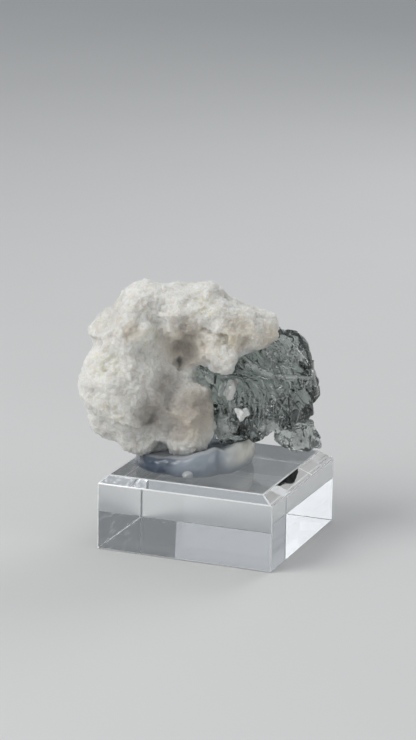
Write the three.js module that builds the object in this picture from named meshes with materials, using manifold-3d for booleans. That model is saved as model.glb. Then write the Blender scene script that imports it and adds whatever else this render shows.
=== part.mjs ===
// Aquamarine on matrix: an etched pale beryl crystal grown with lumpy white feldspar, set in clear
// mounting putty on a bevelled acrylic block.
// Millimetres, +Z up. The origin is the middle of the block's underside, with the block's wide front
// face towards -Y. The specimen has its own frame, turned about +Z on the block: +X across to the
// right, +Y away from the viewer, +Z up from the block's underside.
import * as THREE from "three";
import { MarchingCubes } from "three/addons/objects/MarchingCubes.js";
import { ImprovedNoise } from "three/addons/math/ImprovedNoise.js";
import { mergeVertices } from "three/addons/utils/BufferGeometryUtils.js";
import Module from "manifold-3d";

const wasm = await Module();
wasm.setup();

// Driving dimensions
const BLOCK_WIDTH = 31;
const BLOCK_HEIGHT = 12.7; // half-inch sheet
const BEVEL = { run: 1.5, drop: 1.35 }; // front, back and left
const RIGHT_BEVEL = { run: 2.2, drop: 1.55 };
const SPECIMEN_TURN = THREE.MathUtils.degToRad(21);
const GAP = 0.3; // clearance between pieces that touch

// Matrix: its lumps, as [x, y, z, half width, half depth, half height]
const MATRIX_LUMPS = {
  core: [-11.5, 3, 28, 8.6, 7.5, 10],
  leftLobe: [-16.2, -3.4, 27.2, 6.6, 7.4, 6.9],
  leftLobeLow: [-15.4, -4.2, 23, 5.2, 5.6, 4],
  upperLeft: [-15.6, -1.6, 35.6, 6.4, 6.6, 4.8],
  topLeft: [-12.8, 0, 39.9, 4.5, 5.2, 4.2],
  topRidge: [-6.6, 0.5, 38.8, 5.6, 6.4, 4.2],
  topRight: [-1.4, 0.6, 39.2, 3.6, 5, 3.8],
  topKnob: [-1.6, 0.8, 42.2, 1.9, 2.6, 1.7],
  armRoot: [1.4, -1, 36.8, 4.6, 6.2, 4.2],
  armTip: [5.9, -0.4, 36, 3.6, 5.4, 3.6],
  armUnderside: [0.6, -3, 32.2, 3.6, 4.4, 3],
  hollowFloor: [-6.8, 4, 31.4, 4.2, 5.4, 6],
  hollowSide: [-2.4, 0, 33.2, 3.6, 4, 4],
  lowerRight: [-5, -1.6, 22.4, 4.2, 5.6, 5.5],
  lowerRightSide: [-3.6, -1.6, 20, 2.6, 4.6, 3.6],
  lowerMiddle: [-9.4, 0.4, 22, 4.6, 5.8, 4.6],
  lowLeft: [-18.4, -1.6, 20.2, 3.4, 4, 3],
  lowCore: [-11, 1, 19.4, 6.6, 6.8, 4],
  footLeft: [-13, -2.6, 17.6, 3.8, 4.2, 2.8],
  footRight: [-5.8, -4.4, 17.4, 3.4, 3.6, 2.4],
  backUpper: [-7, 6.5, 35, 7.4, 4.6, 5.6],
  backLower: [-12, 7, 25, 7, 4.6, 6.4],
  backArm: [2.5, 4, 35, 4.4, 4.6, 3.8],
};
// Hollow, pits and notches in the matrix
const MATRIX_PITS = {
  hollow: [-5.5, -7.5, 33, 2.4, 5.6, 3.6],
  hollowTop: [-6.6, -8.2, 37.4, 2, 3.6, 2.8],
  hollowFoot: [-8, -9, 29, 1.6, 4.4, 3.2],
  hollowHole: [-6.7, -2.6, 30.4, 0.9, 2, 0.9],
  armPit: [0.6, -7.6, 35.6, 0.8, 1.8, 1],
  leftNotch: [-21.8, -1, 33, 1.2, 4, 0.9],
  lobeShade: [-11.2, -9.6, 22, 2, 4, 2.6],
  footNotch: [-9.2, -5.4, 16.6, 1, 3, 1.5],
};
const BLEND = 0.7; // how softly the lumps run together, in mm
const MATRIX_WANDER = 0.85; // how far the surface wanders from the lumps, in mm
const MATRIX_GRAIN = 3.4; // size of that wander along the surface
const FINE_WANDER = { share: 0.5, times: 2.1 }; // a smaller wander on top, so many times finer
// Cube of space that the matrix is shaped in, and the cells along each side of it
const MATRIX_SPACE = { middle: new THREE.Vector3(-6, 0.4, 29.5), half: 20, cells: 32 };
const MOST_TRIANGLES = 20000;

// Aquamarine: each crystal is a middle and its flat faces, as [outward x, y, z, distance]
const MAIN_CRYSTAL = {
  middle: [7.2, 1, 25.6],
  faces: {
    front: [-0.12, -0.98, -0.14, 6.4],
    upperFront: [0.36, -0.66, 0.66, 6.9],
    rightFront: [0.8, -0.6, -0.08, 8.1],
    lowerFront: [0.08, -0.72, -0.69, 8.9],
    leftFront: [-0.52, -0.85, -0.08, 7.7],
    top: [0.1, 0, 1, 10.2],
    upperRight: [0.746, 0, 0.666, 10.6],
    right: [0.971, 0, 0.238, 9.3],
    lowRight: [0.988, 0, -0.153, 8.8],
    underRight: [0.68, 0, -0.736, 9],
    under: [0.42, -0.1, -0.9, 7],
    underLeft: [-0.29, -0.1, -0.95, 10.6],
    left: [-1, 0.1, 0, 11],
    back: [0.05, 1, 0.05, 7.2],
    backRight: [0.72, 0.69, 0, 8.2],
    backTop: [0, 0.62, 0.78, 8.9],
    backUnder: [0, 0.72, -0.69, 8],
  },
};
// Growth steps: bands across the main crystal that stand proud of its faces
const STEP_DIRECTION = new THREE.Vector3(0.8, 0.1, 0.6).normalize();
const STEP_BANDS = [
  { from: -6.4, to: -4.6, proud: 0.25 },
  { from: -1.6, to: 0.9, proud: 0.3 },
  { from: 3.2, to: 4.4, proud: 0.25 },
  { from: 6.1, to: 8.6, proud: 0.35 },
];
const LOWER_CRYSTAL = {
  middle: [13.6, 0.4, 17.5],
  faces: {
    front: [-0.1, -1, 0.05, 2.7],
    frontRight: [0.75, -0.66, 0.1, 3.2],
    right: [0.9, 0.1, 0.42, 3],
    rightTip: [0.99, 0, -0.1, 4],
    bottom: [0.12, -0.1, -0.98, 2.5],
    lowerLeft: [-0.66, 0, -0.75, 2.7],
    left: [-1, 0, 0.1, 4.4],
    top: [0.05, 0.1, 1, 2.7],
    back: [0, 1, 0, 2.4],
  },
};
const SIDE_CHIP = {
  middle: [16.2, 1.8, 25],
  faces: {
    front: [0.3, -0.95, 0, 1],
    right: [1, 0, 0.15, 0.95],
    upperRight: [0.7, 0, 0.72, 1.3],
    lowerRight: [0.75, 0, -0.66, 1.25],
    top: [0, 0, 1, 1.8],
    bottom: [0, 0, -1, 1.8],
    left: [-1, 0, 0, 1.4],
    back: [0.4, 0.92, 0, 0.9],
  },
};
const TABLET = { middle: [1.8, -5, 27], size: [1.7, 1.6, 3.4], lean: THREE.MathUtils.degToRad(-14) };
const GROOVES = {
  count: 7,
  pitch: 0.85,
  width: 0.5,
  length: 4.4,
  stagger: 0.4, // every other groove sits this much lower
  first: [3.6, -5.4, 23.2],
};
const FELDSPAR_GRAIN = { middle: [3.9, -5.3, 22.9], radius: [0.95, 1, 0.85] };

// Putty: a squashed pad on the block, with a bead squeezed out in front
const PUTTY_MIDDLE = [-3.3, 0.2];
const PUTTY_RADIUS = 10.1;
const PUTTY_HEIGHT = 4;
const PUTTY_EDGE = 1.6; // how far the rounded edge reaches in over the top
const PUTTY_LOBES = { count: 7, share: 0.035 };
const PUTTY_BEAD = { middle: [-4.5, -9.6], radius: 1.3, rise: 0.4 };
const PUTTY_UNDERSIDE = BLOCK_HEIGHT + GAP;

const noise = new ImprovedNoise();

// A geometry as a solid that joins and cuts
function solidOf(geometry) {
  geometry.deleteAttribute("normal");
  geometry.deleteAttribute("uv");
  const merged = mergeVertices(geometry, 1e-4);
  const vertProperties = merged.getAttribute("position").array;
  const triVerts = new Uint32Array(merged.index.array);
  return new wasm.Manifold(new wasm.Mesh({ numProp: 3, vertProperties, triVerts }));
}

// A solid as a geometry with flat-shaded faces
function geometryOf(solid) {
  const { vertProperties, triVerts } = solid.getMesh();
  const geometry = new THREE.BufferGeometry();
  geometry.setAttribute("position", new THREE.BufferAttribute(vertProperties, 3));
  geometry.setIndex(new THREE.BufferAttribute(triVerts, 1));
  const flat = geometry.toNonIndexed();
  flat.computeVertexNormals();
  return flat;
}

function joined(solids) {
  return solids.reduce((all, next) => all.add(next));
}

// How deep a point is inside a lump, in mm, and negative outside it
function depthIn([x, y, z, width, depth, height], point) {
  const reach = Math.hypot((point.x - x) / width, (point.y - y) / depth, (point.z - z) / height);
  return (1 - reach) * Math.min(width, depth, height);
}

// How deep a point is inside the matrix, whose lumps run together and whose surface wanders
function depthInMatrix(point) {
  const nearness = Object.values(MATRIX_LUMPS).map((at) => Math.exp(depthIn(at, point) / BLEND));
  const mass = BLEND * Math.log(nearness.reduce((sum, value) => sum + value));
  const pit = Math.max(...Object.values(MATRIX_PITS).map((at) => depthIn(at, point)));
  const coarse = point.clone().divideScalar(MATRIX_GRAIN);
  const fine = coarse.clone().multiplyScalar(FINE_WANDER.times);
  const wander = noise.noise(...coarse) + FINE_WANDER.share * noise.noise(...fine);
  return Math.min(mass + MATRIX_WANDER * wander, -pit);
}

// The feldspar mass before the crystal is cut from it, as a surface drawn through a grid of depths
function matrixMass(grow = 0) {
  const { middle, half, cells } = MATRIX_SPACE;
  const cubes = new MarchingCubes(cells, new THREE.Material(), false, false, MOST_TRIANGLES);
  const along = (cell) => (2 * half * cell) / cells - half;
  for (let x = 0; x < cells; x++) {
    for (let y = 0; y < cells; y++) {
      for (let z = 0; z < cells; z++) {
        const point = new THREE.Vector3(along(x), along(y), along(z)).add(middle);
        cubes.setCell(x, y, z, depthInMatrix(point));
      }
    }
  }
  cubes.isolation = -grow;
  cubes.update();
  const surface = new THREE.BufferGeometry();
  const corners = cubes.positionArray.slice(0, 3 * cubes.count);
  surface.setAttribute("position", new THREE.BufferAttribute(corners, 3));
  surface.scale(half, half, half);
  surface.translate(...middle);
  return solidOf(surface);
}

// The solid inside a set of flat faces, each pushed out by grow
function facetedSolid({ middle, faces }, grow = 0) {
  const reach = 2 * Math.max(...Object.values(faces).map((face) => face[3]));
  const box = new THREE.BoxGeometry(2 * reach, 2 * reach, 2 * reach);
  box.translate(...middle);
  return Object.values(faces).reduce((solid, [x, y, z, distance]) => {
    const outward = new THREE.Vector3(x, y, z).normalize();
    const offset = outward.dot(new THREE.Vector3(...middle)) + distance + grow;
    return solid.trimByPlane(outward.negate().toArray(), -offset);
  }, solidOf(box));
}

// One growth step: the main crystal a little grown, between two planes across it
function growthStep({ from, to, proud }, grow) {
  const middle = STEP_DIRECTION.dot(new THREE.Vector3(...MAIN_CRYSTAL.middle));
  return facetedSolid(MAIN_CRYSTAL, proud + grow)
    .trimByPlane(STEP_DIRECTION.toArray(), middle + from - grow)
    .trimByPlane(STEP_DIRECTION.clone().negate().toArray(), -(middle + to + grow));
}

// A small flat tablet standing on the front face
function tablet() {
  const box = new THREE.BoxGeometry(...TABLET.size);
  box.rotateY(TABLET.lean);
  box.translate(...TABLET.middle);
  return solidOf(box);
}

// Parallel growth grooves in the front face
function grooves() {
  const [x, y, z] = GROOVES.first;
  return joined(
    Array.from({ length: GROOVES.count }, (_, i) => {
      const bar = new THREE.BoxGeometry(GROOVES.width, GROOVES.width, GROOVES.length);
      bar.rotateZ(Math.PI / 4);
      bar.translate(x + i * GROOVES.pitch, y, z - GROOVES.stagger * (i % 2));
      return solidOf(bar);
    }),
  );
}

// The crystals grown together as one body
function crystalBody(grow = 0) {
  return joined([
    facetedSolid(MAIN_CRYSTAL, grow),
    ...STEP_BANDS.map((band) => growthStep(band, grow)),
    facetedSolid(LOWER_CRYSTAL, grow),
    facetedSolid(SIDE_CHIP, grow),
  ]);
}

function feldsparGrain(grow = 0) {
  const ball = new THREE.IcosahedronGeometry(1, 1);
  ball.scale(...FELDSPAR_GRAIN.radius.map((radius) => radius + grow));
  ball.translate(...FELDSPAR_GRAIN.middle);
  return solidOf(ball);
}

// The pad before the specimen is pressed into it
function puttyPad() {
  const [x, y] = PUTTY_MIDDLE;
  const r = PUTTY_RADIUS;
  const h = PUTTY_HEIGHT;
  const side = new THREE.CubicBezierCurve(
    new THREE.Vector2(r - 0.3 * PUTTY_EDGE, 0),
    new THREE.Vector2(r + 0.2 * PUTTY_EDGE, 0.25 * h),
    new THREE.Vector2(r, h),
    new THREE.Vector2(r - PUTTY_EDGE, h),
  );
  const profile = [new THREE.Vector2(0, 0), ...side.getPoints(7), new THREE.Vector2(0, h)];
  const pad = new THREE.LatheGeometry(profile, 40);
  pad.rotateX(Math.PI / 2);
  const position = pad.getAttribute("position");
  for (let i = 0; i < position.count; i++) {
    const angle = Math.atan2(position.getY(i), position.getX(i));
    const swell = 1 + PUTTY_LOBES.share * Math.sin(PUTTY_LOBES.count * angle);
    position.setXY(i, swell * position.getX(i), swell * position.getY(i));
  }
  pad.translate(x, y, PUTTY_UNDERSIDE);
  return solidOf(pad);
}

function puttyBead() {
  const bead = new THREE.IcosahedronGeometry(PUTTY_BEAD.radius, 2);
  bead.translate(...PUTTY_BEAD.middle, PUTTY_UNDERSIDE + PUTTY_BEAD.rise);
  return solidOf(bead).trimByPlane([0, 0, 1], PUTTY_UNDERSIDE);
}

// The pad with the specimen's dent in its top
function dentedPutty() {
  const specimen = matrixMass(GAP).add(crystalBody(GAP));
  return largest(puttyPad().add(puttyBead()).subtract(specimen));
}

// The biggest of a solid's separate bodies
function largest(solid) {
  return solid.decompose().sort((a, b) => b.volume() - a.volume())[0];
}

function acrylicBlock() {
  const half = BLOCK_WIDTH / 2;
  const box = new THREE.BoxGeometry(BLOCK_WIDTH, BLOCK_WIDTH, BLOCK_HEIGHT);
  box.translate(0, 0, BLOCK_HEIGHT / 2);
  const sides = [
    [0, -1, BEVEL],
    [0, 1, BEVEL],
    [-1, 0, BEVEL],
    [1, 0, RIGHT_BEVEL],
  ];
  return sides.reduce((solid, [x, y, { run, drop }]) => {
    // The bevel's plane passes through the side at drop below the top
    const outward = new THREE.Vector3(x * drop, y * drop, run).normalize();
    const onPlane = new THREE.Vector3(x * half, y * half, BLOCK_HEIGHT - drop);
    return solid.trimByPlane(outward.clone().negate().toArray(), -outward.dot(onPlane));
  }, solidOf(box));
}

function material(colour, roughness, more = {}) {
  return new THREE.MeshStandardMaterial({ color: colour, roughness, metalness: 0, ...more });
}

function node(name, solid, look) {
  const mesh = new THREE.Mesh(geometryOf(solid), look);
  mesh.name = name;
  return mesh;
}

// The crystals with the tablet, the grooves and the pocket of the feldspar grain
function finishedCrystal() {
  const whole = crystalBody().add(tablet());
  return largest(whole.subtract(grooves()).subtract(feldsparGrain(GAP)));
}

function finishedMatrix() {
  return largest(matrixMass().subtract(crystalBody(GAP)));
}

const FELDSPAR = material(0xd9d7cf, 0.85);
const BERYL = material(0x8fa5a3, 0.15, { transparent: true, opacity: 0.75 });
const PUTTY = material(0x8d97a8, 0.3, { transparent: true, opacity: 0.85 });
const ACRYLIC = material(0xf2f5f7, 0.05, { transparent: true, opacity: 0.3 });

const specimen = new THREE.Group();
specimen.rotation.z = SPECIMEN_TURN;
specimen.add(
  node("matrix", finishedMatrix(), FELDSPAR),
  node("aquamarine", finishedCrystal(), BERYL),
  node("feldspar_grain", feldsparGrain(), FELDSPAR),
  node("mounting_putty", dentedPutty(), PUTTY),
);

const part = new THREE.Group();
part.add(node("acrylic_base", acrylicBlock(), ACRYLIC), specimen);

export default part;
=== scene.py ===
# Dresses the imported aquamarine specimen. Blender objects are in metres. The specimen's pieces are
# worked on in its own frame, in millimetres: +X across to the right, +Y away from the viewer and +Z
# up from the block's underside. That frame is turned about +Z on the block. Places on the specimen
# are (x, y, z, radius) in it. Colours are linear RGB, and absorption densities are per metre.
import math

import bmesh
import bpy
from mathutils import Matrix, Vector, noise
from mathutils.bvhtree import BVHTree


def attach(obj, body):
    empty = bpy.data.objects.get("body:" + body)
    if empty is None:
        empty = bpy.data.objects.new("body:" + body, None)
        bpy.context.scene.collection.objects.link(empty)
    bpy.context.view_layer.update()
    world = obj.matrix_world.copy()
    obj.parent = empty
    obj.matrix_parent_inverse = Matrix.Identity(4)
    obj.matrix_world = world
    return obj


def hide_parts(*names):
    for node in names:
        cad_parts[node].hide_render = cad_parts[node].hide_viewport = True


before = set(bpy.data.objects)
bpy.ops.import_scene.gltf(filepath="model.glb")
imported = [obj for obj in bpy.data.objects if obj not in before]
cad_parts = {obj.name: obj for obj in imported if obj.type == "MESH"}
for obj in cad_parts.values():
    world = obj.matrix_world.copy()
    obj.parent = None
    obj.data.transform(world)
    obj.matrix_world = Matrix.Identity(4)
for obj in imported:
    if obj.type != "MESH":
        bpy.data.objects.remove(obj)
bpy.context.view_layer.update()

MM = 0.001
NOISE_SEED = 11
NOISE_KIND = "PERLIN_ORIGINAL"
TURN = math.radians(21)
SPECIMEN = Matrix.Rotation(TURN, 4, "Z") @ Matrix.Scale(MM, 4)
# The block's height, the width of its worn edges and the reach of the weld under them, in millimetres
BLOCK_TOP = 12.7
WORN_EDGE = 0.22
WELD_REACH = 0.01

# Camera, fitted to the block's corners in the photograph, its lens and sensor in millimetres
CAMERA_PLACE = Vector((0.1575, -0.41446, 0.14393))
CAMERA_RIGHT = Vector((0.9316, 0.3632, 0.0162))
CAMERA_UP = Vector((-0.1059, 0.2284, 0.9678))
CAMERA_LENS = 132.7
CAMERA_SENSOR = 36

# Lights: name, place and size in metres, watts, colour and shape, all aimed at one spot
LIGHT_AIM = Vector((0, 0, 0.025))
LIGHTS = [
    ("key", (-0.30, -0.32, 0.42), 0.42, 1.85, (1.0, 0.985, 0.96), "DISK"),
    ("front", (-0.20, -0.55, 0.19), 0.42, 0.46, (0.97, 0.98, 1.0), "DISK"),
    ("panel", (-0.17, 0.62, 0.225), 0.15, 0.018, (0.93, 0.96, 1.0), "SQUARE"),
    ("side", (0.44, -0.08, 0.14), 0.25, 0.25, (1.0, 0.98, 0.95), "DISK"),
    ("back", (0.10, 0.40, 0.30), 0.25, 0.5, (1.0, 1.0, 1.0), "DISK"),
]
# Sky: place on the ramp and colour, low down and high up
SKY_LOW = (0.12, (0.10, 0.105, 0.11, 1))
SKY_HIGH = (0.9, (0.50, 0.525, 0.55, 1))
# The floor's size in metres and its gap under the block
FLOOR_SIZE = 8
FLOOR_GAP = 0.1 * MM

# Colours, tints and densities of absorption
FELDSPAR_CREAM = (0.72, 0.705, 0.66)
FELDSPAR_WHITE = (0.845, 0.838, 0.80)
FELDSPAR_TAN = (0.62, 0.565, 0.48)
# Dirt and painted shade for the feldspar's hollow and recesses
FELDSPAR_DIRT_AND_SHADE = (0.33, 0.295, 0.265)
FELDSPAR_STAIN = (0.58, 0.555, 0.40)
# Painted shade for the feldspar's cracks and low spots
FELDSPAR_CREASE_SHADE = (0.50, 0.46, 0.41)
BERYL_CLEAR = (0.95, 0.97, 0.955)
# Dark inclusions, painted shade and a painted dark reflection on the crystal
BERYL_INCLUSION_AND_SHADE = (0.44, 0.445, 0.44)
BERYL_MILK = (0.90, 0.93, 0.90)
BERYL_DULL_MILK = (0.70, 0.75, 0.72)
BERYL_TABLET = (0.80, 0.78, 0.76)
BERYL_TINT = (0.485, 0.535, 0.512)
BERYL_DENSITY = 182
PUTTY_SLATE = (0.50, 0.57, 0.64)
PUTTY_BLUE = (0.66, 0.71, 0.77)
PUTTY_SHADE = (0.13, 0.17, 0.24)
# Painted cream glow where light shines through the putty's right end
PUTTY_CREAM_GLOW = (0.97, 0.94, 0.85)
# Painted highlights along the putty's foot and lip
PUTTY_RIM_HIGHLIGHT = (0.93, 0.94, 0.94)
PUTTY_TINT = (0.66, 0.72, 0.82)
PUTTY_DENSITY = 50
BEAD_GREY = (0.93, 0.94, 0.95)
BEAD_WHITE = (0.99, 0.99, 0.99)
ACRYLIC_COLOUR = (0.985, 0.99, 0.995, 1)
ACRYLIC_TINT = (0.75, 0.84, 0.9)
ACRYLIC_DENSITY = 4
WORN_COLOUR = (0.93, 0.945, 0.95, 1)
FLOOR_GREY = (0.67, 0.67, 0.665)
FLOOR_PALE = (0.70, 0.70, 0.695)
# Refractive indices
FELDSPAR_IOR = 1.53
BERYL_IOR = 1.577
PUTTY_IOR = 1.48
BEAD_IOR = 1.46
ACRYLIC_IOR = 1.49
# Ways the block's fine scratches run, in degrees
SCRATCH_TURNS = (18, 74, 131)


def link(piece):
    bpy.context.scene.collection.objects.link(piece)
    return piece


def blend(low, high, value):
    """0 at low, 1 at high, and smooth between them"""
    share = min(max((value - low) / (high - low), 0), 1)
    return share * share * (3 - 2 * share)


def near(point, places):
    """1 at the nearest of some places and 0 outside them, each (x, y, z, radius) and deep along y"""
    closest = 1
    for x, y, z, radius in places:
        offset = Vector((point.x - x, 0.5 * (point.y - y), point.z - z))
        closest = min(closest, offset.length / radius)
    return blend(1, 0.3, closest)


def line_distance(point, line):
    """Distance in millimetres to a line drawn across the front, its corners (x, z)"""
    spot = Vector((point.x, point.z))
    nearest = math.inf
    for start, end in zip(line, line[1:]):
        start = Vector(start)
        run = Vector(end) - start
        share = min(max((spot - start).dot(run) / run.length_squared, 0), 1)
        nearest = min(nearest, (spot - start - share * run).length)
    return nearest


def facets(point, along, size, stretch, slope):
    """Height of a field of flat facets, long in one direction, and 1 at the edge between two"""
    spot = (point - (1 - 1 / stretch) * point.dot(along) * along) / size
    heights = []
    # Each cell's middle settles the tilt and the height of its plane, and the lowest plane shows
    for middle in noise.voronoi(spot)[1]:
        tilt = noise.noise_vector(7.3 * middle).dot(spot - middle)
        heights.append(slope * size * (tilt + 0.3 * noise.noise(5.1 * middle) + 0.15))
    heights.sort()
    return heights[0], blend(0.05, 0, heights[1] - heights[0])


# Materials


class Look:
    """A material made of nodes, with its coordinates in millimetres"""

    def __init__(self, name):
        self.material = bpy.data.materials.new(name)
        self.material.use_nodes = True
        self.tree = self.material.node_tree
        self.shader = self.tree.nodes["Principled BSDF"]
        self.output = self.tree.nodes["Material Output"]
        metres = self.add("TexCoord").outputs["Object"]
        self.mm = self.add("VectorMath", {0: metres, "Scale": 1 / MM}, operation="SCALE").outputs[0]

    def add(self, kind, inputs=None, **settings):
        made = self.tree.nodes.new("ShaderNode" + kind)
        for key, value in settings.items():
            setattr(made, key, value)
        for key, value in (inputs or {}).items():
            self.set(made.inputs[key], value)
        return made

    def set(self, socket, value):
        if isinstance(value, bpy.types.NodeSocket):
            self.tree.links.new(value, socket)
        else:
            socket.default_value = value

    def surface(self, **inputs):
        for key, value in inputs.items():
            self.set(self.shader.inputs[key.replace("_", " ")], value)

    def noise(self, size, detail=2, roughness=0.5, vector=None):
        """Noise from 0 to 1 with blotches about size mm across"""
        inputs = {"Vector": vector or self.mm, "Scale": 1 / size}
        inputs.update({"Detail": detail, "Roughness": roughness})
        return self.add("TexNoise", inputs).outputs["Fac"]

    def cells(self, size, output="Distance", vector=None):
        """Cells about size mm across, by the distance to their middles or by a colour each"""
        inputs = {"Vector": vector or self.mm, "Scale": 1 / size}
        return self.add("TexVoronoi", inputs).outputs[output]

    def stretched(self, scale, turn):
        inputs = {"Vector": self.mm, "Scale": scale, "Rotation": turn}
        return self.add("Mapping", inputs).outputs[0]

    def ramp(self, value, *stops):
        """A value or colour by stops, each (place, level or colour)"""
        made = self.add("ValToRGB", {"Fac": value})
        elements = made.color_ramp.elements
        while len(elements) < len(stops):
            elements.new(0.5)
        for element, (place, level) in zip(elements, stops):
            element.position = place
            element.color = (*level, 1) if isinstance(level, tuple) else (level, level, level, 1)
        return made.outputs["Color"]

    def mix(self, share, first, second, kind="MIX"):
        made = self.add("Mix", data_type="RGBA", blend_type=kind)
        self.set(made.inputs["Factor"], share)
        for socket, value in ((made.inputs["A"], first), (made.inputs["B"], second)):
            self.set(socket, (*value, 1) if isinstance(value, tuple) else value)
        return made.outputs["Result"]

    def maths(self, operation, first, second):
        return self.add("Math", {0: first, 1: second}, operation=operation).outputs[0]

    def attribute(self, name):
        return self.add("Attribute", attribute_name=name).outputs["Fac"]

    def bump(self, height, depth, normal=None):
        """Surface relief of a height from 0 to 1 that is depth mm deep"""
        inputs = {"Height": height, "Distance": depth * MM, "Strength": 1.0}
        if normal is not None:
            inputs["Normal"] = normal
        return self.add("Bump", inputs).outputs["Normal"]

    def absorb(self, colour, density):
        volume = self.add("VolumeAbsorption")
        volume.inputs["Color"].default_value = (*colour, 1)
        volume.inputs["Density"].default_value = density
        self.tree.links.new(volume.outputs["Volume"], self.output.inputs["Volume"])


def feldspar_look():
    look = Look("white_feldspar")
    mottle = look.ramp(look.noise(2.6, 5, 0.6), (0.3, FELDSPAR_CREAM), (0.62, FELDSPAR_WHITE))
    speckle = look.ramp(look.noise(0.3, 3), (0.3, 0.88), (0.6, 1.0))
    colour = look.mix(1.0, mottle, speckle, "MULTIPLY")
    # On the feldspar this gives only its own warm tan tone
    colour = look.mix(look.attribute("warm_tone_and_painted_glow"), colour, FELDSPAR_TAN)
    # Dirt and painted shade in the hollow and the recesses, broken up by noise
    dirt_and_shade_breakup = look.ramp(look.noise(1.4, 4), (0.3, 0.65), (0.65, 1.0))
    dirt_and_painted_shade = look.maths("MULTIPLY", look.attribute("dirt_and_painted_shade"), dirt_and_shade_breakup)
    colour = look.mix(dirt_and_painted_shade, colour, FELDSPAR_DIRT_AND_SHADE)
    patches = look.ramp(look.noise(0.9, 4), (0.45, 0.0), (0.62, 0.6))
    stained = look.maths("MULTIPLY", look.attribute("stain"), patches)
    colour = look.mix(stained, colour, FELDSPAR_STAIN)
    # Painted shade, darkest in the cracks and the lowest hollows of the relief
    painted_crease_shade = look.ramp(look.attribute("painted_crease_shade"), (0.0, 0.0), (1.0, 0.3))
    colour = look.mix(painted_crease_shade, colour, FELDSPAR_CREASE_SHADE)
    sugar = look.bump(look.cells(0.34), 0.1)
    sugar = look.bump(look.noise(0.15, 3, 0.7), 0.05, sugar)
    flakes = look.cells(0.4, output="Color")
    look.surface(
        Base_Color=colour,
        Roughness=look.ramp(flakes, (0.1, 0.42), (0.3, 0.8), (1.0, 0.9)),
        Normal=sugar,
        Subsurface_Weight=0.85,
        Subsurface_Scale=0.0024,
        Subsurface_Radius=(1.0, 0.85, 0.7),
        IOR=FELDSPAR_IOR,
    )
    return look.material


def beryl_look():
    look = Look("aquamarine")
    streaks = look.stretched((2.4, 2.4, 0.45), (0, math.radians(12), 0))
    ragged = look.maths("MULTIPLY", look.maths("SUBTRACT", look.noise(0.9, 4, 0.65), 0.5), 1.6)
    frost = look.ramp(look.maths("ADD", look.attribute("frost"), ragged), (0.3, 0.0), (0.85, 1.0))
    # Dark inclusions, painted shade and a painted dark reflection, with ragged borders
    inclusion_and_painted_shade = look.ramp(look.maths("ADD", look.attribute("inclusion_and_painted_shade"), ragged), (0.35, 0.0), (0.7, 1.0))
    wisps = look.ramp(look.noise(0.8, 3, 0.6, vector=streaks), (0.60, 0.0), (0.68, 0.6))
    # Pale from frosting and wisps, and from painted highlights along facet edges and groove crests
    pale = look.maths("MAXIMUM", look.maths("MAXIMUM", frost, look.attribute("edge_highlight")), wisps)
    etch = look.bump(look.cells(0.9, vector=streaks), 0.007)
    etch = look.bump(look.noise(0.3, 3, 0.7), 0.002, etch)
    etch = look.bump(look.maths("MULTIPLY", look.noise(0.35, 3, 0.7), frost), 0.08, etch)
    hazes = look.ramp(look.noise(2.2, 4, 0.6), (0.45, 0.015), (0.62, 0.08), (0.8, 0.25))
    clear = look.mix(inclusion_and_painted_shade, BERYL_CLEAR, BERYL_INCLUSION_AND_SHADE)
    milky = look.ramp(look.cells(0.7), (0.1, BERYL_MILK), (0.7, BERYL_DULL_MILK))
    tablet = look.attribute("tablet")
    cloudy = look.maths("MAXIMUM", pale, tablet)
    look.surface(
        Base_Color=look.mix(tablet, look.mix(pale, clear, milky), BERYL_TABLET),
        Roughness=look.maths("MAXIMUM", hazes, look.maths("MULTIPLY", frost, 0.5)),
        Normal=etch,
        Transmission_Weight=look.ramp(cloudy, (0.0, 1.0), (1.0, 0.42)),
        IOR=BERYL_IOR,
    )
    look.absorb(BERYL_TINT, BERYL_DENSITY)
    return look.material


def putty_look():
    look = Look("mounting_putty")
    warm_tone_and_painted_glow = look.attribute("warm_tone_and_painted_glow")
    blue = look.mix(look.noise(3.2, 2), PUTTY_SLATE, PUTTY_BLUE)
    colour = look.mix(look.attribute("shade"), blue, PUTTY_SHADE)
    # The right end is painted cream and made opaque, standing in for light shining through it
    colour = look.mix(warm_tone_and_painted_glow, colour, PUTTY_CREAM_GLOW)
    # Painted highlights along the foot and lip
    colour = look.mix(look.attribute("rim_highlight"), colour, PUTTY_RIM_HIGHLIGHT)
    look.surface(
        Base_Color=colour,
        Roughness=look.ramp(look.noise(1.5, 3), (0.3, 0.14), (0.7, 0.26)),
        Normal=look.bump(look.noise(1.2, 3), 0.1),
        Transmission_Weight=look.ramp(warm_tone_and_painted_glow, (0.0, 0.5), (1.0, 0.0)),
        Subsurface_Weight=0.5,
        Subsurface_Scale=0.003,
        Subsurface_Radius=(0.9, 0.95, 1.0),
        IOR=PUTTY_IOR,
        Coat_Weight=0.25,
        Coat_Roughness=0.06,
    )
    look.absorb(PUTTY_TINT, PUTTY_DENSITY)
    return look.material


def bead_look():
    look = Look("clear_putty_bead")
    look.surface(
        Base_Color=look.mix(look.noise(0.8), BEAD_GREY, BEAD_WHITE),
        Roughness=look.ramp(look.noise(0.5), (0.3, 0.03), (0.7, 0.1)),
        Transmission_Weight=0.65,
        IOR=BEAD_IOR,
    )
    return look.material


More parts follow.
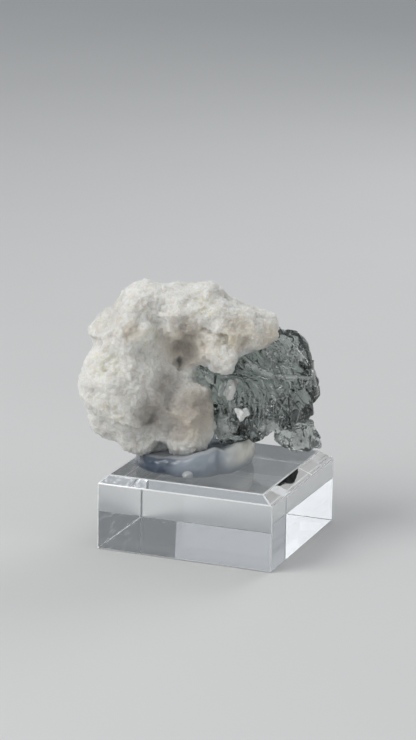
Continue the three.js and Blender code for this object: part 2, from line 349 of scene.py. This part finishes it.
def acrylic_look():
    look = Look("clear_acrylic")
    scratches = []
    for turn in SCRATCH_TURNS:
        lines = look.stretched((5, 0.08, 2), (0, 0, math.radians(turn)))
        scratches.append(look.ramp(look.noise(1.0, 1, vector=lines), (0.72, 0.0), (0.75, 1.0)))
    marks = look.maths("MAXIMUM", look.maths("MAXIMUM", scratches[0], scratches[1]), scratches[2])
    smears = look.ramp(look.noise(7, 4, 0.6), (0.45, 0.0), (0.75, 0.03))
    look.surface(
        Base_Color=ACRYLIC_COLOUR,
        Roughness=look.maths("MAXIMUM", smears, look.maths("MULTIPLY", marks, 0.15)),
        Normal=look.bump(marks, 0.003),
        Transmission_Weight=1.0,
        IOR=ACRYLIC_IOR,
    )
    look.absorb(ACRYLIC_TINT, ACRYLIC_DENSITY)
    return look.material


def worn_edge_look():
    """The block's sawn edges, frosted by polishing"""
    look = Look("worn_acrylic_edge")
    wear = look.noise(0.8, 4, 0.65)
    look.surface(
        Base_Color=WORN_COLOUR,
        Roughness=look.ramp(wear, (0.35, 0.25), (0.65, 0.55)),
        Normal=look.bump(wear, 0.03),
        Transmission_Weight=0.25,
        IOR=ACRYLIC_IOR,
    )
    return look.material


def floor_look():
    look = Look("pale_floor")
    tone = look.mix(look.noise(60, 4), FLOOR_GREY, FLOOR_PALE)
    look.surface(Base_Color=tone, Roughness=0.7)
    return look.material


# Meshes


def apply_modifiers(piece):
    graph = bpy.context.evaluated_depsgraph_get()
    piece.data = bpy.data.meshes.new_from_object(piece.evaluated_get(graph))
    piece.modifiers.clear()


def refined(node, name, voxel, smoothing):
    """A finer, smoother copy of a CAD node, in millimetres in the specimen's frame"""
    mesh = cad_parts[node].data.copy()
    mesh.transform(SPECIMEN.inverted())
    piece = link(bpy.data.objects.new(name, mesh))
    remesh = piece.modifiers.new("Voxels", "REMESH")
    remesh.mode = "VOXEL"
    remesh.voxel_size = voxel
    smooth = piece.modifiers.new("Smooth", "SMOOTH")
    smooth.factor = 0.5
    smooth.iterations = smoothing
    apply_modifiers(piece)
    piece.data.materials.clear()
    return piece


def displace(mesh, relief):
    """Moves each vertex along its normal by relief(point), in millimetres"""
    places = [(vertex.co.copy(), vertex.normal.copy()) for vertex in mesh.vertices]
    for vertex, (point, normal) in zip(mesh.vertices, places):
        vertex.co = point + relief(point) * normal
    return [point for point, _ in places]


def soften(mesh):
    """Evens out the steps that displacing leaves"""
    form = bmesh.new()
    form.from_mesh(mesh)
    axes = {"use_axis_x": True, "use_axis_y": True, "use_axis_z": True}
    bmesh.ops.smooth_vert(form, verts=form.verts, factor=0.5, **axes)
    form.to_mesh(mesh)
    form.free()


def store(mesh, name, values):
    """Keeps a value for each vertex, for a material to read"""
    attribute = mesh.attributes.new(name, "FLOAT", "POINT")
    attribute.data.foreach_set("value", values)


def settle(piece, node, material, sharp=None):
    """Puts a finished piece in its place, in metres, and lets it stand for its node if it has one"""
    piece.data.transform(SPECIMEN)
    piece.data.materials.append(material)
    piece.data.polygons.foreach_set("use_smooth", [True] * len(piece.data.polygons))
    if sharp is not None:
        piece.data.set_sharp_from_angle(angle=sharp)
    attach(piece, "root")
    if node:
        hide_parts(node)


# Matrix

# Sizes, depths and distances in millimetres
LUMP_SIZE = 3.4
CRUMB_SIZE = 0.95
GRAIN_SIZE = 0.5
CREASE_DEPTH = 0.55
NOTCH_DEPTH = 0.7
CRACK_REACH = 0.55
CRACK_CORE = 0.1
# Close to the crystal the grain fades out, and the matrix rises to close the gap
CLOSE_TO_CRYSTAL = 0.8
CRYSTAL_GAP = 0.35
SMOOTH_PLACES = [(-4.6, -5.5, 22.5, 6), (-5.8, -2, 33, 5.5), (7.5, -4, 36, 3)]
CRUMBLING_PLACES = [(-13, -8, 18.5, 6), (-6, -6, 17, 4), (-18, -6, 30, 5), (-12, -3, 41, 5)]
WARM_PLACES = [
    (-5.5, -3, 34.5, 6.5),
    (-4.0, -6, 22.5, 6.5),
    (8.0, -3, 35.5, 3.6),
    (-14.5, -7, 37, 2.4),
    (3, -7, 36.5, 4.5),
]
# Dirt and painted shade: round the lower right lobe, in the hollow and above it
DIRT_AND_SHADE_PLACES = [
    (-10.8, -6, 23.4, 5.8),
    (-7, -4, 20.8, 4.8),
    (-4.2, -6, 24, 4.5),
    (-5.8, -2, 32.5, 3.6),
    (-5.4, -3, 37, 3),
    (-8.6, -6, 27.4, 3.8),
]
STAINED_PLACES = [
    (-18.5, -8, 31.5, 3.0),
    (-11, -7, 36, 2.6),
    (-17.5, -9, 24, 3.2),
    (0.8, -6, 35.6, 2.2),
    (-3, -5, 41, 3.0),
]
# Cracks across the front: along the arm to its pit, under the arm, under the left lobe and a hole
CRACKS = [
    [(-2.9, 37.2), (-0.9, 36.4), (0.7, 36.3), (0.9, 35.2), (1.6, 34.6)],
    [(-2.9, 34.6), (-2.7, 32.2), (-0.6, 30.0)],
    [(-16.6, 22.0), (-14.8, 21.1), (-13.3, 20.6), (-11.5, 21.5)],
    [(-6.9, 31.3), (-6.6, 30.0)],
]
# Lumps that stand out further, and hollows between them: place and height in millimetres
SWELLS = [
    ((-22.5, -3, 28, 7.5), 0.7),
    ((-20, -2, 40, 6), -0.6),
    ((6, -1, 42, 5.5), -0.15),
    ((1.2, 0, 43.4, 3.0), -0.6),
    ((9.6, -2, 36.5, 3), 0.35),
    ((-18.5, -1, 17.5, 4), -0.45),
]
# The notch between the two lobes on the left
NOTCH = [(-24, 34.2), (-20.2, 34.8)]


def matrix_crease(point):
    """1 in the cracks across the front and 0 outside them"""
    distance = min(line_distance(point, crack) for crack in CRACKS)
    wander = 0.25 * noise.noise(point / 0.8)
    return blend(2, -2, point.y) * blend(CRACK_REACH, CRACK_CORE, distance + wander)


def matrix_relief(point):
    """Height of the sugary surface, with its lumps, hollows, cracks and notch"""
    calm = 1 - 0.4 * near(point, SMOOTH_PLACES)
    crumb_spot = point / CRUMB_SIZE + Vector((7, 3, 5))
    lumps = noise.turbulence(point / LUMP_SIZE, 3, True, noise_basis=NOISE_KIND)
    crumbs = noise.turbulence(crumb_spot, 2, True, noise_basis=NOISE_KIND)
    grains = noise.noise(point / GRAIN_SIZE)
    crumbling = 0.3 + 0.2 * near(point, CRUMBLING_PLACES)
    height = calm * (0.55 * (lumps - 0.42) + crumbling * (crumbs - 0.4) + 0.17 * grains)
    swell = sum(tall * near(point, [place]) for place, tall in SWELLS)
    notch = blend(4, 0, point.y) * blend(1.0, 0.2, line_distance(point, NOTCH))
    return height + swell - CREASE_DEPTH * matrix_crease(point) - NOTCH_DEPTH * notch


def dressed_matrix(crystal_tree):
    piece = refined("matrix", "feldspar_mass", voxel=0.25, smoothing=8)
    levels = []

    def relief(point):
        """The surface's height, fading out against the crystal and closing the gap to it"""
        height = matrix_relief(point)
        levels.append(height)
        distance = crystal_tree.find_nearest(point, CLOSE_TO_CRYSTAL)[3]
        contact = 0 if distance is None else blend(CLOSE_TO_CRYSTAL, CRYSTAL_GAP, distance)
        return height * (1 - 0.5 * contact) + CRYSTAL_GAP * contact

    points = displace(piece.data, relief)
    # The lowest places of the relief, in its cracks and hollows, get painted shade
    store(piece.data, "painted_crease_shade", [blend(0.0, -0.45, level) for level in levels])
    store(piece.data, "warm_tone_and_painted_glow", [0.8 * near(point, WARM_PLACES) for point in points])
    store(piece.data, "dirt_and_painted_shade", [0.72 * near(point, DIRT_AND_SHADE_PLACES) for point in points])
    store(piece.data, "stain", [near(point, STAINED_PLACES) for point in points])
    return piece


# Aquamarine

# Above the ridge the facets lean over
RIDGE_HEIGHT = 29.5
# Facets: size in millimetres, stretch along their grain, and slope
BROAD_FACETS = (3.4, 1.6, 0.4)
FINE_FACETS = (1.1, 3.6, 0.8)
FLUTED_PLACES = [(13, 0, 18, 3.0), (9.5, -5, 27.2, 2.2), (10.5, -3, 33, 4.0)]
# Upright grooves, their pitch in millimetres, and the place among them where the white grain sits
GROOVED_PLACES = [(4.9, -6, 23.6, 3.8), (14, 0, 18.6, 2.2)]
GROOVE_PITCH = 0.85
GRAIN_SEAT = (3.9, -5.3, 22.9, 1.7)
FROSTED_PLACES = [
    (0.4, -5, 19.6, 3.5),
    (8.6, -4, 20.2, 2.8),
    (12.6, -3, 36, 1.8),
    (15.2, 0, 33.4, 1.6),
    (16.2, 1.8, 25, 1.6),
]
# Dark inclusions and patches, painted shade under the arm, and a painted dark reflection low in the
# middle
INCLUSION_AND_SHADE_PLACES = [
    (4.7, -5, 19.2, 2.8),
    (3.1, -5, 31, 2.6),
    (9, -4, 31.8, 3.4),
    (16, 0, 30, 2),
    (0.6, -5, 23.6, 2.2),
    (14.2, 0, 17.4, 3.6),
]
# A slab grown on the front: its middle (x, z), half size and lean to the right
TABLET_MIDDLE = (1.8, 27)
TABLET_HALF = (0.85, 1.75)
TABLET_LEAN = math.radians(19)
# Where the smaller crystal swells to join the larger one
JOINED_PLACES = [(12.5, -2, 21.5, 3), (14.8, 0, 21.6, 2.8)]
# Raised edges across the front, painted pale as highlights where they catch the light: the ridge and
# the right rim
EDGE_LINES = [
    [(4.6, 31.4), (7.6, 29.9), (9.8, 29.1), (15.4, 28.5)],
    [(13.9, 33.7), (15.1, 32.0), (15.6, 29.1), (16.2, 25.8)],
]
EDGE_REACH = 0.4
EDGE_CORE = 0.1
# Edges that come and go below the ridge, raised and painted pale as highlights
BROKEN_LINES = [
    [(8.3, 28.2), (9.6, 24.6), (10.5, 22.4)],
    [(0.1, 27.8), (-0.2, 25.1), (0.5, 21.7)],
]


def on_line(point, lines):
    """1 on any of some lines drawn across the front and 0 beside them"""
    return max(blend(EDGE_REACH, EDGE_CORE, line_distance(point, line)) for line in lines)


def on_tablet(point):
    """1 on the slab and 0 off it, with painted light making its right half brighter"""
    across, up = point.x - TABLET_MIDDLE[0], point.z - TABLET_MIDDLE[1]
    x = across * math.cos(TABLET_LEAN) - up * math.sin(TABLET_LEAN)
    z = across * math.sin(TABLET_LEAN) + up * math.cos(TABLET_LEAN)
    inside = min(TABLET_HALF[0] - abs(x), TABLET_HALF[1] - abs(z))
    return blend(-0.1, 0.06, inside) * blend(-2, -4, point.y) * (0.55 + 0.45 * blend(-0.1, 0.1, x))


def facet_grain(point):
    """The way the facets run: upright low down and leaning above the ridge"""
    lean = blend(RIDGE_HEIGHT - 1, RIDGE_HEIGHT + 1.5, point.z)
    return Vector((0.05 + 0.45 * lean, 0.1, -0.9)).normalized()


def groove_at(point):
    """0 on the crests between the grooves and 1 at their bottoms"""
    sway = 0.5 * noise.noise(Vector((point.x, 0, point.z / 2.5)))
    return 0.5 - 0.5 * math.cos(math.tau * (point.x + sway) / GROOVE_PITCH)


def dressed_crystal():
    piece = refined("aquamarine", "etched_crystal", voxel=0.16, smoothing=2)
    edge_highlights = []
    grooves = []

    def etching(point):
        """Height of the facets, flutes and grooves; the edges, painted pale as highlights, and the
        grooves are kept for the look
        """
        along = facet_grain(point)
        front = blend(3, -1, point.y)
        fluted = near(point, FLUTED_PLACES)
        broad, broad_edge = facets(point, along, *BROAD_FACETS)
        fine, fine_edge = facets(point + Vector((3, 1, 8)), along, *FINE_FACETS)
        flutes = abs(noise.noise(Vector((point.x / 0.7, point.y / 0.9, point.z / 6))))
        grooved = front * near(point, GROOVED_PLACES)
        seat = near(point, [GRAIN_SEAT])
        groove = groove_at(point)
        grooves.append(grooved * groove)
        sugar = noise.noise(point / 0.4)
        broken = blend(-0.45, 0.3, noise.noise(point / 1.3)) * on_line(point, BROKEN_LINES)
        line = front * max(on_line(point, EDGE_LINES), broken)
        crest = 0.8 * grooved * blend(0.25, 0, groove)
        edge_highlights.append(max(broad_edge, fine_edge * fluted, line, crest))
        return (
            (0.5 + 0.5 * front) * broad
            + (0.06 + 0.6 * fluted) * front * fine
            - 0.5 * fluted * flutes
            - 0.45 * grooved * groove * (1 - seat)
            + 0.3 * seat
            + 0.12 * near(point, FROSTED_PLACES) * sugar
            + 0.4 * near(point, JOINED_PLACES)
            + 0.3 * line
        )

    points = displace(piece.data, etching)
    soften(piece.data)
    # Darker colour: inclusions and patches, painted shade under the arm and in the groove bottoms,
    # and a painted dark reflection
    inclusion_and_painted_shade = []
    for point, groove in zip(points, grooves):
        inclusion_and_painted_shade.append(max(0.6 * near(point, INCLUSION_AND_SHADE_PLACES), 0.7 * groove))
    # Facet edges, groove crests and the raised lines get painted highlights
    store(piece.data, "edge_highlight", [0.55 * edge_highlight for edge_highlight in edge_highlights])
    store(piece.data, "frost", [0.78 * near(point, FROSTED_PLACES) for point in points])
    store(piece.data, "inclusion_and_painted_shade", inclusion_and_painted_shade)
    store(piece.data, "tablet", [on_tablet(point) for point in points])
    return piece


def grain_relief(point):
    return 0.9 * noise.noise(point / 0.9) + 0.25 * noise.noise(point / 0.35) + 0.02


def dressed_grain():
    piece = refined("feldspar_grain", "white_grain", voxel=0.08, smoothing=2)
    displace(piece.data, grain_relief)
    return piece


# Putty

PUTTY_MIDDLE = Vector((-3.3, 0.2, BLOCK_TOP))
# The pad's top inside its lip, in millimetres above the block, and the sections it is built from
PUTTY_TOP = 3.0
PUTTY_SECTIONS = 180
# Round the pad, by angle in degrees: radius at the block and height of the lip, in millimetres
PUTTY_ROUND = {
    -180: (10.9, 3.2),
    -160: (10.9, 2.9),
    -148: (10.8, 2.9),
    -135: (10.5, 3.0),
    -110: (10.2, 3.4),
    -85: (9.7, 4.4),
    -72: (9.2, 4.9),
    -55: (8.9, 4.1),
    -36: (8.5, 4.3),
    -15: (8.7, 5.0),
    10: (9.2, 4.9),
    50: (9.8, 4.2),
    90: (10.2, 3.8),
    140: (10.4, 3.4),
    180: (10.9, 3.2),
}
# The side swells this much, in millimetres, except on the left, where it leans in
PUTTY_BULGE = 0.4
PUTTY_LEAN_IN = 0.4
# Folds pressed into the side, by angle in degrees: depth and width
PUTTY_FOLDS = {-66: (0.55, 5), -122: (0.5, 6), -20: (0.3, 8), 75: (0.4, 9), 160: (0.4, 8)}
# A clear bead squeezed out at the foot
BEAD_SIZE = Vector((0.95, 0.85, 0.72))
BEAD_MIDDLE = Vector((-5.0, -10.15, BLOCK_TOP + BEAD_SIZE.z))


def putty_at(angle):
    """Radius and lip height at an angle in degrees, smooth between the places given"""
    places = sorted(PUTTY_ROUND)
    after = next(place for place in places if place >= angle)
    before = max((place for place in places if place < angle), default=after)
    share = 0 if after == before else blend(before, after, angle)
    return [low + share * (high - low) for low, high in zip(PUTTY_ROUND[before], PUTTY_ROUND[after])]


def swelling(degrees, middle, width):
    """1 at a middle angle, falling smoothly to 0 on both sides"""
    return math.exp(-(((degrees - middle) / width) ** 2))


def putty_profile(radius, lip, bulge):
    """Points up the side, which swells by bulge, and over the top, as (radius, height)"""
    return [
        (0.0, 0.0),
        (radius * 0.6, 0.0),
        (radius - 0.25, 0.0),
        (radius, 0.2),
        (radius + 0.5 * bulge, 0.16 * lip),
        (radius + 0.9 * bulge, 0.3 * lip),
        (radius + bulge, 0.55 * lip),
        (radius + 0.7 * bulge - 0.2, 0.8 * lip),
        (radius + 0.4 * bulge - 0.6, 0.95 * lip),
        (radius - 1.1, lip),
        (radius - 2.2, 0.9 * lip),
        (radius * 0.4, PUTTY_TOP),
        (0.0, PUTTY_TOP),
    ]


def putty_section(degrees):
    """The pad's section at an angle, with its folds, as places in the specimen's frame"""
    radius, lip = putty_at(degrees)
    fold = sum(deep * swelling(degrees, at, wide) for at, (deep, wide) in PUTTY_FOLDS.items())
    angle = math.radians(degrees)
    bulge = PUTTY_BULGE - (PUTTY_BULGE + PUTTY_LEAN_IN) * blend(-0.75, -1, math.cos(angle))
    section = []
    for out, up in putty_profile(radius - fold, lip, bulge):
        section.append(PUTTY_MIDDLE + Vector((out * math.cos(angle), out * math.sin(angle), up)))
    return section


def putty_rim_highlight(point):
    """1 on the thin painted highlights along the pad's foot and lip"""
    arm = point - PUTTY_MIDDLE
    _, lip = putty_at(math.degrees(math.atan2(arm.y, arm.x)))
    lip_line = blend(0.35, 0.1, abs(arm.z - 0.97 * lip))
    return max(blend(0.5, 0.15, arm.z), lip_line)


def dressed_bead():
    piece = link(bpy.data.objects.new("putty_bead", bpy.data.meshes.new("putty_bead")))
    form = bmesh.new()
    bmesh.ops.create_icosphere(form, subdivisions=4, radius=1)
    for vertex in form.verts:
        sag = 1 + 0.12 * noise.noise(1.3 * vertex.co + Vector((4, 2, 9)))
        vertex.co = BEAD_MIDDLE + sag * vertex.co * BEAD_SIZE
        vertex.co.z = max(vertex.co.z, BLOCK_TOP)
    form.to_mesh(piece.data)
    form.free()
    return piece


def putty_relief(point):
    """A slight unevenness that fades out at the foot"""
    return 0.12 * noise.noise(point / 1.6) * blend(BLOCK_TOP, BLOCK_TOP + 0.5, point.z)


def putty_painted_glow(point):
    """1 on the pad's right end, above its foot, where light shining through is painted as a cream
    glow
    """
    return blend(-0.5, 5, point.x) * blend(BLOCK_TOP + 0.3, BLOCK_TOP + 2.3, point.z)


def build_putty(mesh):
    """The pad's closed skin, through its sections all the way round"""
    form = bmesh.new()
    rings = []
    for i in range(PUTTY_SECTIONS):
        section = putty_section(-180 + 360 * i / PUTTY_SECTIONS)
        rings.append([form.verts.new(place) for place in section])
    for ring, following in zip(rings, rings[1:] + rings[:1]):
        for low, high in zip(range(len(ring) - 1), range(1, len(ring))):
            form.faces.new((ring[low], following[low], following[high], ring[high]))
    bmesh.ops.remove_doubles(form, verts=form.verts, dist=1e-4)
    bmesh.ops.recalc_face_normals(form, faces=form.faces)
    form.to_mesh(mesh)
    form.free()


def dressed_putty():
    piece = link(bpy.data.objects.new("putty_pad", bpy.data.meshes.new("putty_pad")))
    build_putty(piece.data)
    subdivide = piece.modifiers.new("Smooth", "SUBSURF")
    subdivide.levels = 1
    subdivide.render_levels = 1
    apply_modifiers(piece)
    points = displace(piece.data, putty_relief)
    store(piece.data, "warm_tone_and_painted_glow", [putty_painted_glow(point) for point in points])
    store(piece.data, "shade", [blend(-4, -10, point.x) for point in points])
    store(piece.data, "rim_highlight", [0.45 * putty_rim_highlight(point) for point in points])
    return piece


# Block


def wear_block(block):
    """Gives the CAD block its clear faces and worn edges"""
    block.data.materials.clear()
    block.data.materials.append(acrylic_look())
    block.data.materials.append(worn_edge_look())
    # Its faces share no vertices until they are welded, and a bevel needs shared edges
    weld = block.modifiers.new("Joined faces", "WELD")
    weld.merge_threshold = WELD_REACH * MM
    bevel = block.modifiers.new("Worn edges", "BEVEL")
    bevel.width = WORN_EDGE * MM
    bevel.segments = 2
    bevel.material = 1


# Stage


def add_camera():
    camera = link(bpy.data.objects.new("camera", bpy.data.cameras.new("camera")))
    back = CAMERA_RIGHT.cross(CAMERA_UP)
    axes = Matrix((CAMERA_RIGHT, CAMERA_UP, back)).transposed()
    camera.matrix_world = Matrix.Translation(CAMERA_PLACE) @ axes.to_4x4()
    camera.data.lens = CAMERA_LENS
    camera.data.sensor_width = CAMERA_SENSOR
    bpy.context.scene.camera = camera


def add_light(name, place, size, power, colour, shape):
    light = bpy.data.lights.new(name, "AREA")
    light.shape = shape
    light.size = size
    light.energy = power
    light.color = colour
    lamp = link(bpy.data.objects.new(name, light))
    lamp.location = place
    aim = LIGHT_AIM - Vector(place)
    lamp.rotation_euler = aim.to_track_quat("-Z", "Y").to_euler()


def add_world():
    world = bpy.data.worlds.new("studio")
    bpy.context.scene.world = world
    world.use_nodes = True
    tree = world.node_tree
    direction = tree.nodes.new("ShaderNodeTexCoord").outputs["Generated"]
    height = tree.nodes.new("ShaderNodeSeparateXYZ")
    sky = tree.nodes.new("ShaderNodeValToRGB")
    for element, (position, colour) in zip(sky.color_ramp.elements, (SKY_LOW, SKY_HIGH)):
        element.position = position
        element.color = colour
    tree.links.new(direction, height.inputs[0])
    tree.links.new(height.outputs["Z"], sky.inputs["Fac"])
    tree.links.new(sky.outputs["Color"], tree.nodes["Background"].inputs["Color"])


def add_floor():
    bpy.ops.mesh.primitive_plane_add(size=FLOOR_SIZE)
    floor = bpy.context.object
    floor.name = "floor"
    floor.location.z = -FLOOR_GAP
    floor.data.materials.append(floor_look())


def dress():
    feldspar = feldspar_look()
    crystal = dressed_crystal()
    tree = BVHTree.FromObject(crystal, bpy.context.evaluated_depsgraph_get())
    settle(dressed_matrix(tree), "matrix", feldspar)
    settle(crystal, "aquamarine", beryl_look(), sharp=math.radians(22))
    settle(dressed_grain(), "feldspar_grain", feldspar, sharp=math.radians(30))
    settle(dressed_putty(), "mounting_putty", putty_look())
    settle(dressed_bead(), None, bead_look())
    wear_block(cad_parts["acrylic_base"])


noise.seed_set(NOISE_SEED)
add_camera()
add_world()
for light in LIGHTS:
    add_light(*light)
add_floor()
dress()
bpy.context.scene.view_settings.view_transform = "Standard"
